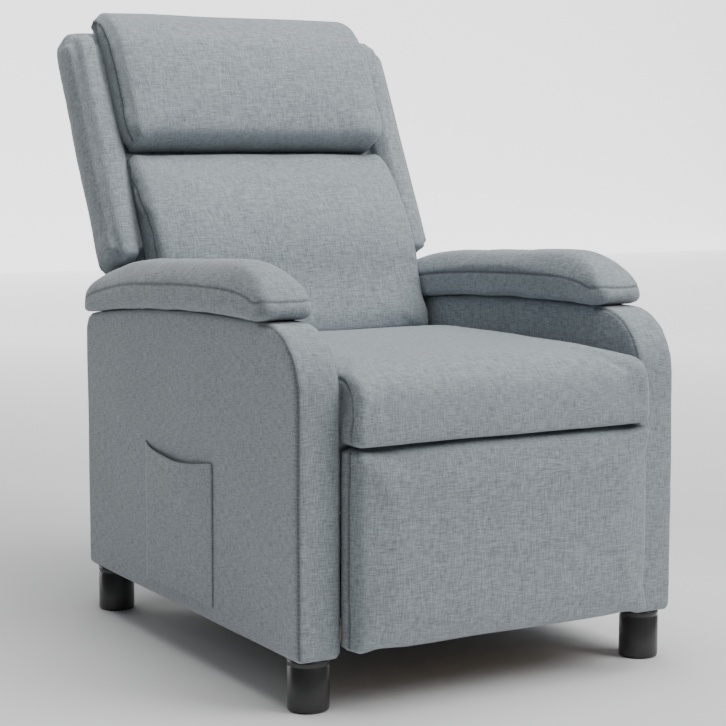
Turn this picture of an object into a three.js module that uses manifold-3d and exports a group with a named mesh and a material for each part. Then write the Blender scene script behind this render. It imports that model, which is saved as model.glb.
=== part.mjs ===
// Push-back recliner armchair: two upholstered arms on four round legs, a seat and a leaning back
// carried on steel swing links, and a padded footrest on a folding scissor linkage.
// Millimetres, +Z up, the chair faces -Y. Lengths named y... or z... are places in that frame.
import * as THREE from "three";
import { mergeVertices } from "three/addons/utils/BufferGeometryUtils.js";
import Module from "manifold-3d";

const wasm = await Module();
wasm.setup();

// ---- driving dimensions ----
const GAP = 0.3; // clearance between pieces that touch
const ARM_SPAN = 645; // over the outer faces of the two arms
const ARM_T = 69.5; // thickness of one arm
const ARM_FRONT = -377; // y of the arm's front
const ARM_REAR = 380; // y of the arm's rear
const ARM_BOTTOM = 73.6; // z of the arm's underside, which is also the leg height
const ARM_TOP = 534; // z of the arm's top at its highest
const ARM_DROP = 34; // fall of the arm's top from its highest point to the rear corner
const ARM_NOSE_R = 96; // round of the front top corner
const ARM_TAIL_R = 34; // round of the rear top corner
const ARM_SKIN = 9; // fabric and padding over the arm's wood
const PAD_W = 87;
const PAD_SETBACK = 82; // from the arm's front to the pad's
const PAD_OVERHANG = 6; // of the pad's tip past the arm's rear
const PAD_T = 74; // pad thickness at its crown
const LEG_R = 29.6;
const LEG_INSET_FRONT = 35; // from the arm's front to the leg's middle
const LEG_INSET_REAR = 38;
const SEAT_FRONT = -420;
const SEAT_CLEAR = 2.5; // between the seat and each arm
const SEAT_BOTTOM = 372; // underside of the cushion's front lip
const SEAT_T = 102; // cushion thickness at its front edge
const SEAT_TO_BACK = 12; // from the cushion's rear to the lumbar cushion
const SEAT_CORNER_R = 36;
const FOOT_GAP = 5; // between the footrest and the cushion's front lip
const FOOT_H = 283;
const FOOT_PAD_T = 41; // padding in front of the footrest board
const FOOT_BOARD_T = 12;
const BACK_LEAN = 26.7; // degrees from upright
const BACK_CLEAR = 1; // between the back and each arm pad
const WING_W = 55.5;
const BACK_T = 87; // wing thickness, square to the back
const BACK_SET_IN = 13; // from the arm's rear to the back's rear face where the wings begin
const WING_RISE = 32; // from the arm's top to the wings' foot
const WING_H = 430; // length of the wings along the back
const BRACKET_TOP = 60; // from the wings' foot down to the brackets' upper end, along the back
const LUMBAR_D = 122; // from the back's rear face to the lumbar cushion's front, at its foot
const HEAD_TOP = 478; // top of the headrest along the back, above the wings' foot
const STEEL = 3; // sheet thickness of links and plates
const PIN_R = 4;
const HOLE_R = PIN_R + 0.6;
const LINK_R = 12; // half width of a link bar
const PITCH = STEEL + 0.8; // spacing of the layers that the links move in
const POCKET_W = 240;
const POCKET_REAR = 127; // y of the pocket's rear edge
const POCKET_BOTTOM = 98;
const POCKET_TOP = 306;
const POCKET_DEPTH = 5.8;

// ---- places worked out from them ----
const armIn = ARM_SPAN / 2 - ARM_T;
const armMid = ARM_SPAN / 2 - ARM_T / 2;
const padFront = ARM_FRONT + PAD_SETBACK;
const padRear = ARM_REAR + PAD_OVERHANG;
const legYs = [["front", ARM_FRONT + LEG_INSET_FRONT], ["rear", ARM_REAR - LEG_INSET_REAR]];
const seatHalf = armIn - SEAT_CLEAR;
const footTop = SEAT_BOTTOM - FOOT_GAP;
const footBottom = footTop - FOOT_H;
const footBack = SEAT_FRONT + FOOT_PAD_T + FOOT_BOARD_T;
const frameTop = SEAT_BOTTOM + 20;
const frameFloor = SEAT_BOTTOM - 17;
const backHalf = armMid - PAD_W / 2 - BACK_CLEAR;
const lean = THREE.MathUtils.degToRad(BACK_LEAN);
const seatTop = SEAT_BOTTOM + SEAT_T;
const backFootY = ARM_REAR - BACK_SET_IN;
const backFootZ = ARM_TOP + WING_RISE;
const backTail = (backFootZ - frameTop - 4) / Math.cos(lean); // length of the back below the wings
const lumbarFootY = backFootY - (backFootZ - seatTop) * Math.tan(lean) - LUMBAR_D / Math.cos(lean);
const seatRear = lumbarFootY - SEAT_TO_BACK;
const SIDES = [["left", -1], ["right", 1]];

// ---- linkage pivots, y and z, chair upright ----
const SWING_LEN = 100;
const SWING_LEAN = 42.1; // degrees the swing links lean to the rear when upright
const SEAT_PIVOT_FRONT = [SEAT_FRONT + 250, frameFloor - 55];
const SEAT_PIVOT_REAR = [SEAT_FRONT + 520, frameFloor - 55];
const BACK_PIVOT = [backFootY - 42, frameFloor - 10];
const G1 = [SEAT_FRONT + 145, frameFloor - 37]; // long link on the seat plate
const scissor = (dy, dz) => [G1[0] + dy, G1[1] + dz];
const G2 = scissor(34, 20); // guide link on the seat plate
const J = scissor(143.9, -138.9); // long link to carrying link
const K = scissor(179, -114); // guide link to carrying link
const M = scissor(-63, -103); // carrying link to footrest bracket
const Q = scissor(150, -103); // long link to levelling link
const N = scissor(-37, -58); // levelling link to footrest bracket
const GUIDE_HOLE_R = PIN_R + 2.2; // the guide link's pin has play in the carrying link
const LEVEL_HOLE_R = PIN_R + 4.6; // and the bracket's pin has play in the levelling link

// ---- materials ----
const PAINTS = {
  fabric: { color: 0x9aa3a6, roughness: 0.95, metalness: 0 },
  plastic: { color: 0x232326, roughness: 0.35, metalness: 0 },
  wood: { color: 0xb08d63, roughness: 0.8, metalness: 0 },
  steel: { color: 0x4a4c4f, roughness: 0.45, metalness: 0.8 },
  spring: { color: 0x8b8e92, roughness: 0.35, metalness: 1 },
  webbing: { color: 0x2d2b2a, roughness: 0.9, metalness: 0 },
};

// ---- shapes ----
// A shape drawn in (y, z) becomes a solid that runs along X.
const sideways = new THREE.Matrix4().makeBasis(
  new THREE.Vector3(0, 1, 0),
  new THREE.Vector3(0, 0, 1),
  new THREE.Vector3(1, 0, 0),
);

function extrude(shape, depth, curveSegments = 8) {
  return new THREE.ExtrudeGeometry(shape, { depth, curveSegments, steps: 1, bevelEnabled: false });
}

function alongX(shape, x0, x1, curveSegments = 8) {
  return extrude(shape, x1 - x0, curveSegments).applyMatrix4(sideways).translate(x0, 0, 0);
}

function box(x0, x1, y0, y1, z0, z1) {
  const geometry = new THREE.BoxGeometry(x1 - x0, y1 - y0, z1 - z0);
  return geometry.translate((x0 + x1) / 2, (y0 + y1) / 2, (z0 + z1) / 2);
}

function rod(r, x0, x1, [y, z], segments = 12) {
  const geometry = new THREE.CylinderGeometry(r, r, Math.abs(x1 - x0), segments);
  return geometry.rotateZ(Math.PI / 2).translate((x0 + x1) / 2, y, z);
}

function polygon(points) {
  return new THREE.Shape(points.map(([u, v]) => new THREE.Vector2(u, v)));
}

// A rounded rectangle, with its own radius at each corner: low-low, high-low, high-high, low-high.
function roundedRect(u0, u1, v0, v1, radii) {
  const [a, b, c, d] = radii;
  const shape = new THREE.Shape();
  shape.moveTo(u0 + a, v0);
  shape.lineTo(u1 - b, v0);
  if (b > 0) shape.absarc(u1 - b, v0 + b, b, -Math.PI / 2, 0, false);
  shape.lineTo(u1, v1 - c);
  if (c > 0) shape.absarc(u1 - c, v1 - c, c, 0, Math.PI / 2, false);
  shape.lineTo(u0 + d, v1);
  if (d > 0) shape.absarc(u0 + d, v1 - d, d, Math.PI / 2, Math.PI, false);
  shape.lineTo(u0, v0 + a);
  if (a > 0) shape.absarc(u0 + a, v0 + a, a, Math.PI, 1.5 * Math.PI, false);
  return shape;
}

// The outline of a flat bar around its pivots, which are listed anticlockwise.
function barOutline(pivots, r) {
  const shape = new THREE.Shape();
  const turn = (from, to) => Math.atan2(to[1] - from[1], to[0] - from[0]) - Math.PI / 2;
  pivots.forEach((pivot, i) => {
    const before = pivots[(i + pivots.length - 1) % pivots.length];
    const after = pivots[(i + 1) % pivots.length];
    const start = turn(before, pivot);
    let end = turn(pivot, after);
    while (end < start) end += 2 * Math.PI;
    shape.absarc(pivot[0], pivot[1], r, start, end, false);
  });
  return shape;
}

function drill(shape, [u, v], r) {
  const hole = new THREE.Path();
  hole.absarc(u, v, r, 0, 2 * Math.PI, true);
  shape.holes.push(hole);
}

function solid(geometry) {
  const bare = geometry.index ? geometry.toNonIndexed() : geometry;
  bare.deleteAttribute("normal");
  bare.deleteAttribute("uv");
  const merged = mergeVertices(bare, 1e-4);
  return new wasm.Manifold(new wasm.Mesh({
    numProp: 3,
    vertProperties: new Float32Array(merged.attributes.position.array),
    triVerts: new Uint32Array(merged.index.array),
  }));
}

function fromSolid(manifold) {
  const { vertProperties, triVerts } = manifold.getMesh();
  const geometry = new THREE.BufferGeometry();
  geometry.setAttribute("position", new THREE.BufferAttribute(vertProperties, 3));
  geometry.setIndex(new THREE.BufferAttribute(triVerts, 1));
  return geometry;
}

const join = (...pieces) => fromSolid(pieces.map(solid).reduce((all, piece) => all.add(piece)));
const cut = (piece, ...tools) => fromSolid(tools.map(solid).reduce((rest, tool) => rest.subtract(tool), solid(piece)));

function piece(parent, name, geometry, paint) {
  const mesh = new THREE.Mesh(geometry, new THREE.MeshStandardMaterial(PAINTS[paint]));
  mesh.name = name;
  parent.add(mesh);
  return mesh;
}

// Most pieces are drawn for the right side. The left one is the same seen in a mirror.
function mirrored(geometry) {
  const copy = (geometry.index ? geometry.toNonIndexed() : geometry.clone()).scale(-1, 1, 1);
  const { array } = copy.attributes.position;
  for (let i = 0; i < array.length; i += 9) {
    for (let k = 0; k < 3; k += 1) [array[i + k], array[i + 3 + k]] = [array[i + 3 + k], array[i + k]];
  }
  copy.deleteAttribute("normal");
  copy.deleteAttribute("uv");
  return copy;
}

function pair(parent, name, geometry, paint) {
  for (const [side, sign] of SIDES) {
    piece(parent, `${name}_${side}`, sign > 0 ? geometry.clone() : mirrored(geometry), paint);
  }
}

// ---- arms ----
// The arm's top falls in an even curve from the front third to the rear corner.
function armTopPoints(lift, from, to, count) {
  const crown = ARM_FRONT + 200;
  const points = [];
  for (let i = 0; i <= count; i += 1) {
    const y = from + ((to - from) * i) / count;
    const t = Math.max(0, y - crown) / (ARM_REAR - crown);
    const front = Math.max(0, crown - y) / (crown - ARM_FRONT);
    points.push([y, ARM_TOP + lift - ARM_DROP * t * t - 3 * front * front]);
  }
  return points;
}

// The arm seen from the side, drawn in by inset on every edge but the bottom.
function armOutline(inset, bottom) {
  const front = ARM_FRONT + inset;
  const rear = ARM_REAR - inset;
  const noseR = ARM_NOSE_R - inset;
  const tailR = ARM_TAIL_R - inset;
  const top = armTopPoints(-inset, front + noseR, rear - tailR, 8);
  const [, noseTop] = top[0];
  const [, tailTop] = top[top.length - 1];
  const shape = new THREE.Shape();
  shape.moveTo(front, bottom);
  shape.lineTo(rear, bottom);
  shape.lineTo(rear, tailTop - tailR);
  shape.absarc(rear - tailR, tailTop - tailR, tailR, 0, Math.PI / 2, false);
  for (const [y, z] of top.slice(0, -1).reverse()) shape.lineTo(y, z);
  shape.absarc(front + noseR, noseTop - noseR, noseR, Math.PI / 2, Math.PI, false);
  return shape;
}

function makeArms(base) {
  const outer = ARM_SPAN / 2;
  const wall = ARM_SKIN;
  const cavity = alongX(armOutline(wall, ARM_BOTTOM - 10), armIn + wall, outer - wall);
  pair(base, "arm_cover", cut(alongX(armOutline(0, ARM_BOTTOM), armIn, outer), cavity), "fabric");

  // Inside: a frame of a board against the inner wall with a rail along its top, which the pad
  // screws down to, and a separate rail at the bottom that the legs screw into.
  const woodIn = armIn + wall + GAP;
  const boardOut = woodIn + 15;
  const inset = wall + 0.6;
  const board = alongX(armOutline(inset, ARM_BOTTOM + 1), woodIn, boardOut, 5);
  const railIn = boardOut + GAP;
  const railOut = outer - wall - GAP;
  const bottomRail = box(railIn, railOut, ARM_FRONT + inset, ARM_REAR - inset, ARM_BOTTOM + 1, ARM_BOTTOM + 29);
  const boltHoles = legYs.map(([, y]) => legBolt(HOLE_R, 60).translate(armMid, y, ARM_BOTTOM));
  pair(base, "arm_bottom_rail", cut(bottomRail, ...boltHoles), "wood");
  const topFrom = ARM_FRONT + ARM_NOSE_R;
  const topTo = ARM_REAR - ARM_TAIL_R - 20;
  const under = armTopPoints(-inset - 25, topFrom, topTo, 6);
  const over = armTopPoints(-inset, topFrom, topTo, 6).reverse();
  const topRail = alongX(polygon([...under, ...over]), boardOut - 1, railOut);
  pair(base, "arm_frame", join(board, topRail), "wood");
}

// A long pad, thickest over the front half and drawn down to a blunt tip at the rear.
function makeArmPads(base) {
  const count = 14;
  const under = armTopPoints(0.8, padFront, padRear - 14, count);
  const over = under.map(([y, z], i) => {
    const t = i / count;
    const frontRound = Math.sqrt(Math.max(0, 1 - ((0.09 - Math.min(t, 0.09)) / 0.1) ** 2));
    const rearRound = Math.sqrt(Math.max(0, 1 - ((Math.max(t, 0.62) - 0.62) / 0.42) ** 2));
    return [y, z + PAD_T * frontRound * rearRound];
  });
  const tip = [padRear, under[count][1] + 6];
  const outline = polygon([...under, tip, ...over.reverse()]);
  pair(base, "arm_pad", alongX(outline, armMid - PAD_W / 2, armMid + PAD_W / 2), "fabric");
}

function legBolt(r, height) {
  return new THREE.CylinderGeometry(r, r, height, 12).rotateX(Math.PI / 2);
}

function makeLegs(base) {
  const bevel = 3;
  const top = ARM_BOTTOM - GAP;
  const profile = [[0, 0], [LEG_R - bevel, 0], [LEG_R, bevel], [LEG_R, top - 1], [LEG_R - 1, top], [0, top]];
  const foot = new THREE.LatheGeometry(profile.map(([r, z]) => new THREE.Vector2(r, z)), 24);
  const stud = legBolt(PIN_R, 32).translate(0, 0, top + 10);
  const leg = join(foot.rotateX(Math.PI / 2), stud);
  for (const [end, y] of legYs) {
    for (const [side, sign] of SIDES) {
      piece(base, `leg_${end}_${side}`, leg.clone(), "plastic").position.set(sign * armMid, y, 0);
    }
  }
}

// A patch pocket on the left arm's outer face: a sheet held off the arm by its two sides and its bottom.
function makePocket(base) {
  const sheet = 2.6;
  const rim = 7;
  const inner = -ARM_SPAN / 2 - GAP;
  const outer = inner - POCKET_DEPTH - sheet;
  const front = POCKET_REAR - POCKET_W;
  const mouth = [[POCKET_REAR, POCKET_TOP + 12], [front + 130, POCKET_TOP - 3], [front + 30, POCKET_TOP]];
  const outline = polygon([[front, POCKET_BOTTOM], [POCKET_REAR, POCKET_BOTTOM], ...mouth, [front, POCKET_TOP + 7]]);
  const slot = box(outer + sheet, inner + 5, front + rim, POCKET_REAR - rim, POCKET_BOTTOM + rim, POCKET_TOP + 40);
  piece(base, "side_pocket", cut(alongX(outline, outer, inner), slot), "fabric");
}

function makeCrossRails(base) {
  const x = armIn - GAP;
  const bottom = ARM_BOTTOM + 3;
  const rails = { front: [ARM_FRONT + 75, ARM_FRONT + 120, 22], rear: [ARM_REAR - 62, ARM_REAR - 22, 60] };
  for (const [end, [y0, y1, height]] of Object.entries(rails)) {
    piece(base, `cross_rail_${end}`, box(-x, x, y0, y1, bottom, bottom + height), "wood");
  }
  const panel = box(-x, x, ARM_REAR - 18, ARM_REAR - 4, ARM_BOTTOM + 1, frameFloor - 40);
  piece(base, "rear_panel", panel, "fabric");
  const cover = box(-x, x, ARM_FRONT + 127, ARM_REAR - 24, ARM_BOTTOM + 0.6, ARM_BOTTOM + 2.4);
  piece(base, "dust_cover", cover, "webbing");
}

// ---- mechanism ----
// Layer 0 lies against the arm. Each further layer is one PITCH nearer the middle of the chair.
const layerOut = (layer) => armIn - GAP - layer * PITCH;
const layerIn = (layer) => layerOut(layer) - STEEL;

function swingBase([y, z]) {
  const lean = THREE.MathUtils.degToRad(SWING_LEAN);
  return [y - SWING_LEN * Math.sin(lean), z - SWING_LEN * Math.cos(lean)];
}

function link(layer, pivots, holes, r = LINK_R) {
  const shape = barOutline(pivots, r);
  for (const [pivot, holeR] of holes) drill(shape, pivot, holeR);
  return alongX(shape, layerIn(layer), layerOut(layer), 5);
}

// A pin from the middle of its own layer to the far face of the layer it turns in.
function pin(own, other, pivot) {
  const from = layerIn(own) + STEEL / 2;
  const to = other > own ? layerIn(other) : layerOut(other);
  return rod(PIN_R, from, to, pivot);
}

function makeBaseRails(base) {
  const front = swingBase(SEAT_PIVOT_FRONT);
  const rear = swingBase(SEAT_PIVOT_REAR);
  const [, z] = front;
  const shape = roundedRect(front[0] - 45, rear[0] + 45, z - 26, z + 26, [8, 8, 8, 8]);
  const plate = alongX(shape, layerIn(0), layerOut(0), 3);
  pair(base, "base_plate", join(plate, pin(0, 1, front), pin(0, 1, rear)), "steel");
}

function makeSwingLinks(group, name, seatPivot) {
  const foot = swingBase(seatPivot);
  const bar = link(1, [foot, seatPivot], [[foot, HOLE_R], [seatPivot, HOLE_R]]);
  pair(group, name, bar, "steel");
}

const frameHalf = layerIn(6) - 1.4; // the seat frame stands clear of the innermost links

function makeSeatPlates(seat) {
  const rearEnd = BACK_PIVOT[0] + 20;
  const top = frameFloor - GAP;
  const outline = polygon([
    [G1[0] - 22, G1[1] - 26], [SEAT_PIVOT_REAR[0] + 30, SEAT_PIVOT_REAR[1] - 15], [rearEnd, BACK_PIVOT[1] - 16],
    [rearEnd, BACK_PIVOT[1] + 16], [rearEnd - 42, BACK_PIVOT[1] + 16], [rearEnd - 52, top], [G1[0] - 22, top],
  ]);
  const web = alongX(outline, layerIn(2), layerOut(2));
  const flange = box(frameHalf - 30, layerOut(2), G1[0] - 22, seatRear - 15, top - STEEL, top);
  const pins = [pin(2, 1, SEAT_PIVOT_FRONT), pin(2, 1, SEAT_PIVOT_REAR), pin(2, 4, G1), pin(2, 6, G2), pin(2, 3, BACK_PIVOT)];
  pair(seat, "seat_plate", join(web, flange, ...pins), "steel");
}

// The footrest's scissor. Each link lies in a layer of its own, so that they pass one another.
function makeFootrestLinks(groups) {
  const long = link(4, [G1, J, Q], [[G1, HOLE_R], [J, HOLE_R]]);
  pair(groups.long_links, "long_link", join(long, pin(4, 3, Q)), "steel");
  const carrying = link(5, [M, J, K], [[K, GUIDE_HOLE_R]]);
  pair(groups.carrying_links, "carrying_link", join(carrying, pin(5, 4, J), pin(5, 4, M)), "steel");
  const guide = link(6, [G2, K], [[G2, HOLE_R]]);
  pair(groups.guide_links, "guide_link", join(guide, pin(6, 5, K)), "steel");
  const level = link(3, [Q, N], [[Q, HOLE_R], [N, LEVEL_HOLE_R]], LINK_R + 1);
  pair(groups.levelling_links, "levelling_link", level, "steel");
}

function makeFootrest(footrest) {
  const back = footBack + GAP;
  const ear = barOutline([M, N, [back + 8, N[1] + 4], [back + 8, M[1] - 14]], LINK_R - 4);
  drill(ear, M, HOLE_R);
  const web = alongX(ear, layerIn(4), layerOut(4), 5);
  const flange = box(layerIn(4) - 24, layerOut(4), back, back + STEEL, M[1] - 30, N[1] + 20);
  const trim = box(0, ARM_SPAN, footBack - 60, back, 0, seatTop);
  const bracket = fromSolid(solid(join(web, flange, pin(4, 3, N))).subtract(solid(trim)));
  pair(footrest, "footrest_bracket", bracket, "steel");

  const half = seatHalf - 0.5;
  const boardFront = footBack - FOOT_BOARD_T;
  const board = box(-half + 12, half - 12, boardFront, footBack, footBottom + 10, footTop - 10);
  piece(footrest, "footrest_board", board, "wood");
  const plan = roundedRect(-half, half, SEAT_FRONT, boardFront - GAP, [38, 38, 2, 2]);
  const pad = extrude(plan, FOOT_H).translate(0, 0, footBottom);
  piece(footrest, "footrest_pad", pad, "fabric");
}

// ---- seat ----
function sineWire(from, to, waves, width, height) {
  const points = [];
  const count = waves * 4;
  for (let i = 0; i <= count; i += 1) {
    const t = i / count;
    points.push(new THREE.Vector3(width * Math.sin(t * waves * 2 * Math.PI), from + (to - from) * t, height));
  }
  const path = new THREE.CatmullRomCurve3(points);
  const section = new THREE.Shape();
  section.absarc(0, 0, 1.9, 0, 2 * Math.PI, false);
  return new THREE.ExtrudeGeometry(section, { curveSegments: 3, steps: waves * 8, bevelEnabled: false, extrudePath: path });
}

function makeSeat(seat) {
  const front = footBack + 11;
  const rear = seatRear - 12;
  const half = frameHalf;
  const rail = 34;
  const [z0, z1] = [frameFloor, frameTop];
  piece(seat, "seat_rail_front", box(-half, half, front, front + rail, z0, z1), "wood");
  piece(seat, "seat_rail_rear", box(-half, half, rear - rail, rear, z0, z1), "wood");
  pair(seat, "seat_rail_side", box(half - rail, half, front + rail + GAP, rear - rail - GAP, z0, z1), "wood");

  const wireZ = frameTop + 2.2;
  [-125, 0, 125].forEach((x, i) => {
    const wire = sineWire(front + 8, rear - 8, 6, 20, wireZ);
    piece(seat, `seat_spring_${i + 1}`, wire, "spring").position.x = x;
  });

  const tube = rod(9, -half + 30 + GAP, half - 30 - GAP, [front + rail + 30, frameFloor - 12]);
  piece(seat, "seat_cross_tube", tube, "steel");

  // The cushion's front lip hangs down over the frame and its top falls a little to the rear.
  const lip = SEAT_FRONT + 62;
  const under = frameTop + 4.6;
  const r = SEAT_CORNER_R;
  const side = new THREE.Shape();
  side.moveTo(SEAT_FRONT, SEAT_BOTTOM);
  side.lineTo(lip, SEAT_BOTTOM);
  side.lineTo(lip, under);
  side.lineTo(seatRear - 20, under);
  side.lineTo(seatRear - 2, seatTop - 10);
  side.lineTo(SEAT_FRONT + r, seatTop);
  side.absarc(SEAT_FRONT + r, seatTop - r, r, Math.PI / 2, Math.PI, false);
  const plan = roundedRect(-seatHalf, seatHalf, SEAT_FRONT, seatRear, [r, r, 4, 4]);
  const block = extrude(plan, 200).translate(0, 0, SEAT_BOTTOM - 20);
  const body = alongX(side, -seatHalf, seatHalf);
  piece(seat, "seat_cushion", fromSolid(solid(body).intersect(solid(block))), "fabric");
}

// ---- back ----
// The back is drawn upright, its rear face on y = 0 and the wings' foot on z = 0, and then leaned.
function makeBack(back) {
  const upright = new THREE.Group();
  upright.position.set(0, backFootY, backFootZ);
  upright.rotation.x = -lean;
  back.add(upright);

  const cover = 19;
  const narrow = backHalf;
  const wide = narrow + BACK_CLEAR + WING_W;
  const postOut = layerIn(3) - GAP;
  const postIn = postOut - 32;

  // The cover is widest at the wings and, low down, leaves room for the brackets beside the posts.
  const step = -BRACKET_TOP - 6.5;
  const half = [
    [postOut, -backTail], [postOut, step], [narrow, step], [narrow, 0], [wide, 0], [wide, WING_H - 30],
    [wide - 30, WING_H],
  ];
  const otherHalf = half.map(([x, z]) => [-x, z]).reverse();
  const sheet = extrude(polygon([...half, ...otherHalf]), cover).rotateX(Math.PI / 2);
  piece(upright, "back_cover", sheet, "fabric");

  const wingProfile = roundedRect(-BACK_T, -cover - GAP, -8, WING_H, [12, 2, 2, 52]);
  pair(upright, "wing", alongX(wingProfile, narrow + BACK_CLEAR, wide), "fabric");

  const woodFront = -cover - GAP - 40;
  const woodBack = -cover - GAP;
  const foot = -backTail + 6;
  const head = WING_H - 8;
  pair(upright, "back_post", box(postIn, postOut, woodFront, woodBack, foot, head), "wood");
  const rails = { bottom: foot, middle: 150, top: head - 50 };
  for (const [level, z] of Object.entries(rails)) {
    const x = postIn - GAP;
    piece(upright, `back_rail_${level}`, box(-x, x, woodFront, woodBack, z, z + 50), "wood");
  }
  const strapBack = woodFront - GAP;
  [-100, 10].forEach((z, i) => {
    const strap = box(-postOut, postOut, strapBack - 2, strapBack, z, z + 50);
    piece(upright, `back_strap_${i + 1}`, strap, "webbing");
  });

  const seam = strapBack - 2.6;
  const lumbar = new THREE.Shape();
  lumbar.moveTo(seam, -backTail + 14);
  lumbar.lineTo(seam, 178);
  lumbar.lineTo(-92, 178);
  lumbar.quadraticCurveTo(-150, 160, -147, 0);
  lumbar.quadraticCurveTo(-146, -60, -LUMBAR_D, -backTail + 14);
  piece(upright, "lumbar_cushion", alongX(lumbar, -narrow, narrow, 6), "fabric");

  // The headrest folds over the top of the back.
  const headrest = new THREE.Shape();
  headrest.moveTo(seam, 181);
  headrest.lineTo(seam, WING_H + 1);
  headrest.lineTo(-cover - 2, WING_H + 1);
  headrest.quadraticCurveTo(-24, HEAD_TOP, -62, HEAD_TOP);
  headrest.quadraticCurveTo(-100, HEAD_TOP - 6, -136, 380);
  headrest.quadraticCurveTo(-156, 300, -126, 183);
  headrest.lineTo(-110, 181);
  piece(upright, "headrest_cushion", alongX(headrest, -narrow, narrow, 6), "fabric");
}

function makeBackBrackets(back) {
  const onPost = (height) => [
    backFootY + height * Math.sin(lean) - 40 * Math.cos(lean),
    backFootZ + height * Math.cos(lean) + 40 * Math.sin(lean),
  ];
  const shape = barOutline([BACK_PIVOT, onPost(-BRACKET_TOP), onPost(-BRACKET_TOP - 105)], LINK_R);
  drill(shape, BACK_PIVOT, HOLE_R);
  pair(back, "back_bracket", alongX(shape, layerIn(3), layerOut(3), 5), "steel");
}

// ---- assembly ----
const chair = new THREE.Group();
const groupNames = [
  "base", "front_swing", "rear_swing", "seat", "back", "long_links", "carrying_links", "guide_links",
  "levelling_links", "footrest",
];
const groups = {};
for (const name of groupNames) {
  groups[name] = new THREE.Group();
  chair.add(groups[name]);
}
makeArms(groups.base);
makeArmPads(groups.base);
makeLegs(groups.base);
makePocket(groups.base);
makeCrossRails(groups.base);
makeBaseRails(groups.base);
makeSwingLinks(groups.front_swing, "front_swing_link", SEAT_PIVOT_FRONT);
makeSwingLinks(groups.rear_swing, "rear_swing_link", SEAT_PIVOT_REAR);
makeSeatPlates(groups.seat);
makeSeat(groups.seat);
makeFootrestLinks(groups);
makeFootrest(groups.footrest);
makeBack(groups.back);
makeBackBrackets(groups.back);

// The origin is on the floor, in the middle of the chair's length and width.
chair.updateMatrixWorld(true);
const bounds = new THREE.Box3().setFromObject(chair, true);
const middle = bounds.getCenter(new THREE.Vector3());
chair.position.set(-middle.x, -middle.y, 0);

export default chair;
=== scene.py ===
import math

import bmesh
import bpy
import numpy as np
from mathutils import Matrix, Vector, noise
from mathutils.bvhtree import BVHTree
from mathutils.kdtree import KDTree


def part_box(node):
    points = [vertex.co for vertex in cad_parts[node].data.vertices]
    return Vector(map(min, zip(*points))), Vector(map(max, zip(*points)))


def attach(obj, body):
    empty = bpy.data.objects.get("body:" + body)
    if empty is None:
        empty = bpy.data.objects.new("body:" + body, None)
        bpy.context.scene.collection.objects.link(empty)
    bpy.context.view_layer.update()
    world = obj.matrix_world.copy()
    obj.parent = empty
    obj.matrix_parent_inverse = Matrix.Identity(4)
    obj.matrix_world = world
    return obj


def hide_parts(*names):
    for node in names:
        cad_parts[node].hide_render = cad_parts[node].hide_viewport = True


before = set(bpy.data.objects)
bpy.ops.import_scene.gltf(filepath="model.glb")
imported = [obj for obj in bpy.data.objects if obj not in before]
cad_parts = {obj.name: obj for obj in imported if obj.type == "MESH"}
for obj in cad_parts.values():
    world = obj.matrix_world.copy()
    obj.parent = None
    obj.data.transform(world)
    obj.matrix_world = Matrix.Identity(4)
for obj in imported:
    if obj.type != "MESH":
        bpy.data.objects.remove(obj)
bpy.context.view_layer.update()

scene = bpy.context.scene


# ---- places, in metres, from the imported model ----
ARM_LO, ARM_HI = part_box("arm_cover_right")
PAD_LO, PAD_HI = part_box("arm_pad_right")
SEAT_LO, SEAT_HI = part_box("seat_cushion")
FOOT_LO, FOOT_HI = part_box("footrest_pad")
POCKET_LO, POCKET_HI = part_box("side_pocket")
PANEL_LO, PANEL_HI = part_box("rear_panel")
DUST_LO, DUST_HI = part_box("dust_cover")
ARM_IN, ARM_OUT = ARM_LO.x, ARM_HI.x
LEAN = math.radians(26.7)
BACK_FOOT = Vector((0.0, ARM_HI.y - 0.013, ARM_HI.z + 0.032))
SIDES = {"left": -1, "right": 1}

# ---- the fineness of the meshes and the cloth, in metres ----
VOXEL, BACK_VOXEL = 0.005, 0.0055
SETTLE_FRAMES = 20
SEAM_REACH, PUCKER_REACH = 0.024, 0.011
STITCH_PROUD, STITCH_OFFSET = 0.00025, 0.005


# ---- mesh helpers ----
def make_object(name, verts, faces):
    mesh = bpy.data.meshes.new(name)
    mesh.from_pydata([tuple(v) for v in verts], [], faces)
    obj = bpy.data.objects.new(name, mesh)
    scene.collection.objects.link(obj)
    return obj


def coords(obj):
    co = np.zeros(len(obj.data.vertices) * 3)
    obj.data.vertices.foreach_get("co", co)
    return co.reshape(-1, 3)


def set_coords(obj, co):
    obj.data.vertices.foreach_set("co", co.astype(np.float32).ravel())
    obj.data.update()


def normals(obj):
    n = np.zeros(len(obj.data.vertices) * 3)
    obj.data.vertices.foreach_get("normal", n)
    return n.reshape(-1, 3)


def bake(obj):
    """Applies every modifier to the mesh."""
    depsgraph = bpy.context.evaluated_depsgraph_get()
    mesh = bpy.data.meshes.new_from_object(obj.evaluated_get(depsgraph))
    obj.modifiers.clear()
    obj.data = mesh
    obj.data.shade_smooth()
    return obj


def modify(obj, kind, **settings):
    modifier = obj.modifiers.new(kind.lower(), kind)
    for key, value in settings.items():
        setattr(modifier, key, value)
    return bake(obj)


def voxel(obj, size):
    return modify(obj, "REMESH", mode="VOXEL", voxel_size=size, use_smooth_shade=True)


def relax(obj, times):
    return modify(obj, "SMOOTH", iterations=times, factor=0.5)


def grid_faces(columns, rows):
    """The faces of a sheet whose points are listed row by row."""
    row = columns + 1
    return [
        [j * row + i, j * row + i + 1, (j + 1) * row + i + 1, (j + 1) * row + i]
        for j in range(rows)
        for i in range(columns)
    ]


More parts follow.
